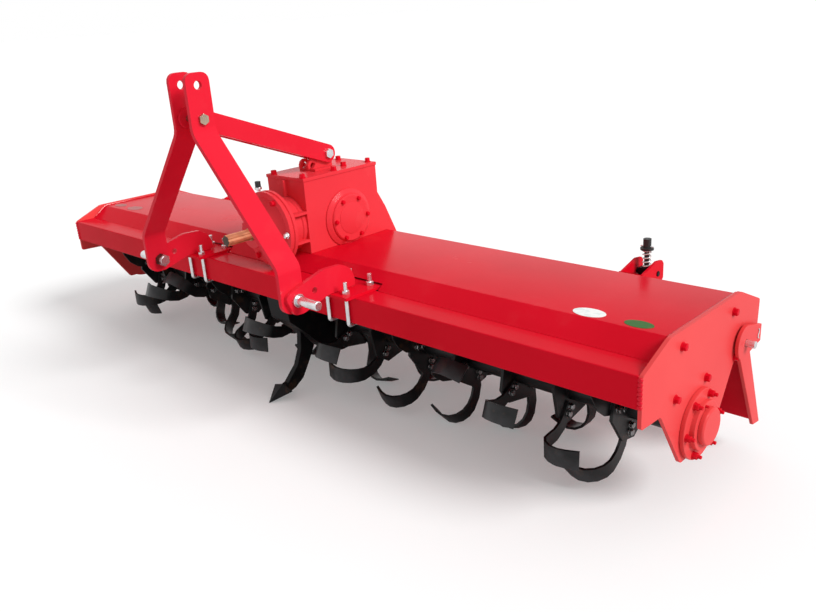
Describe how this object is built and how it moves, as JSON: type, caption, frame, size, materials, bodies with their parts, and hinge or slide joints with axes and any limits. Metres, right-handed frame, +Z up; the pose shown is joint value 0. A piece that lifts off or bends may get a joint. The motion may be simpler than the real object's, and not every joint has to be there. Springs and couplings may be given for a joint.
{
  "type": "rotary tiller",
  "caption": "Red tractor-mounted rotary tiller with a three-point hitch mast, central gearbox, bladed rotor under a folded cover, and a hinged trailing board.",
  "frame": {"origin": "On the ground, below the middle of the bounding box; the rotor's axis is 35 mm behind it and 236 mm above it.", "axes": "+X along the rotor to the machine's left, +Y to its rear (away from the tractor), +Z up"},
  "size_m": [2.862, 0.898, 1.1254],
  "materials": {
    "red_paint": "glossy red paint",
    "black_paint": "satin black paint",
    "zinc": "zinc plated",
    "bare_steel": "oiled bare steel with a brown film"
  },
  "bodies": {
    "frame": {"end_plate_left": "red_paint", "end_plate_right": "red_paint", "bearing_flange_left": "red_paint", "bearing_flange_right": "red_paint", "hub_cap_left": "red_paint", "hub_cap_right": "red_paint", "front_beam": "red_paint", "cover": "red_paint", "gearbox_housing": "red_paint", "gearbox_lid": "red_paint", "lid_bracket": "red_paint", "side_cap_left": "red_paint", "side_cap_right": "red_paint", "input_housing": "red_paint", "breather": "black_paint", "centre_case": "black_paint", "centre_shank": "black_paint", "share": "black_paint", "mast_strap_left": "red_paint", "mast_strap_right": "red_paint", "strut_left": "red_paint", "strut_right": "red_paint", "mast_bolt": "zinc", "strut_bolt": "zinc", "hitch_cheek_left": "red_paint", "hitch_cheek_right": "red_paint", "hitch_clamp_left": "red_paint", "hitch_clamp_right": "red_paint", "hitch_pin_left": "zinc", "hitch_pin_right": "zinc", "adjuster_bracket_left": "red_paint", "adjuster_bracket_right": "red_paint", "hinge_pin_left": "zinc", "hinge_pin_right": "zinc"},
    "rotor_body": {"rotor": "black_paint"},
    "input_body": {"input_shaft": "bare_steel"},
    "board": {"trailing_board": "red_paint", "board_arm_left": "red_paint", "board_arm_right": "red_paint"},
    "trunnion_l": {"trunnion_left": "black_paint", "spring_left": "zinc"},
    "trunnion_r": {"trunnion_right": "black_paint", "spring_right": "zinc"},
    "rod_l": {"adjuster_rod_left": "black_paint"},
    "rod_r": {"adjuster_rod_right": "black_paint"}
  },
  "joints": [
    {"name": "rotor_spin", "type": "hinge", "parent": "frame", "child": "rotor_body", "pos_m": [0, 0.035, 0.23637], "axis": [1, 0, 0], "continuous": true},
    {"name": "input_spin", "type": "hinge", "parent": "frame", "child": "input_body", "pos_m": [0, 0.035, 0.60437], "axis": [0, 1, 0], "continuous": true},
    {"name": "board_swing", "type": "hinge", "parent": "frame", "child": "board", "pos_m": [0, 0.273, 0.37237], "axis": [1, 0, 0], "range_deg": [0, 45]},
    {"name": "trunnion_tilt_left", "type": "hinge", "parent": "frame", "child": "trunnion_l", "pos_m": [1.0375, 0.415, 0.46637], "axis": [1, 0, 0], "range_deg": [0, 34.3]},
    {"name": "rod_slide_left", "type": "slide", "parent": "trunnion_l", "child": "rod_l", "axis": [0, 0, 1], "range_m": [0, 0.1269]},
    {"name": "trunnion_tilt_right", "type": "hinge", "parent": "frame", "child": "trunnion_r", "pos_m": [-1.0375, 0.415, 0.46637], "axis": [1, 0, 0], "range_deg": [0, 34.3]},
    {"name": "rod_slide_right", "type": "slide", "parent": "trunnion_r", "child": "rod_r", "axis": [0, 0, 1], "range_m": [0, 0.1269]}
  ],
  "couplings": [
    {"joint": "input_spin", "follows": "rotor_spin", "ratio": 2.6},
    {"joint": "trunnion_tilt_left", "follows": "board_swing", "ratio": 0.74},
    {"joint": "rod_slide_left", "follows": "board_swing", "m_per_rad": 0.159},
    {"joint": "trunnion_tilt_right", "follows": "board_swing", "ratio": 0.74},
    {"joint": "rod_slide_right", "follows": "board_swing", "m_per_rad": 0.159}
  ]
}
